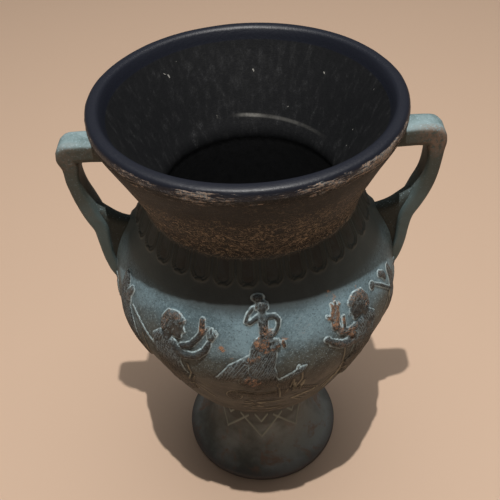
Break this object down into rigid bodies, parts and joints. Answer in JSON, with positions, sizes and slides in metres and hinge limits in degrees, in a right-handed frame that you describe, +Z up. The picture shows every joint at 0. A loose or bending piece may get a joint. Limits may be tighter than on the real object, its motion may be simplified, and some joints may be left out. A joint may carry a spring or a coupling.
{
  "type": "krater",
  "caption": "Small two-handled footed krater: wide funnel mouth, full belly with a moulded frieze of figures, collar of tongues, trumpet foot.",
  "frame": {"origin": "centre of the foot's underside, on the plane it stands on", "axes": "+Z up along the vase's axis; the handles lie along X; the frieze's main group faces -Y"},
  "size_m": [0.133, 0.1096, 0.18],
  "materials": {
    "patinated_clay": "fired clay with a painted blue-green and dark brown bronze-like patina, satin inside, matt outside"
  },
  "bodies": {
    "root": {"krater": "patinated_clay"}
  },
  "joints": []
}
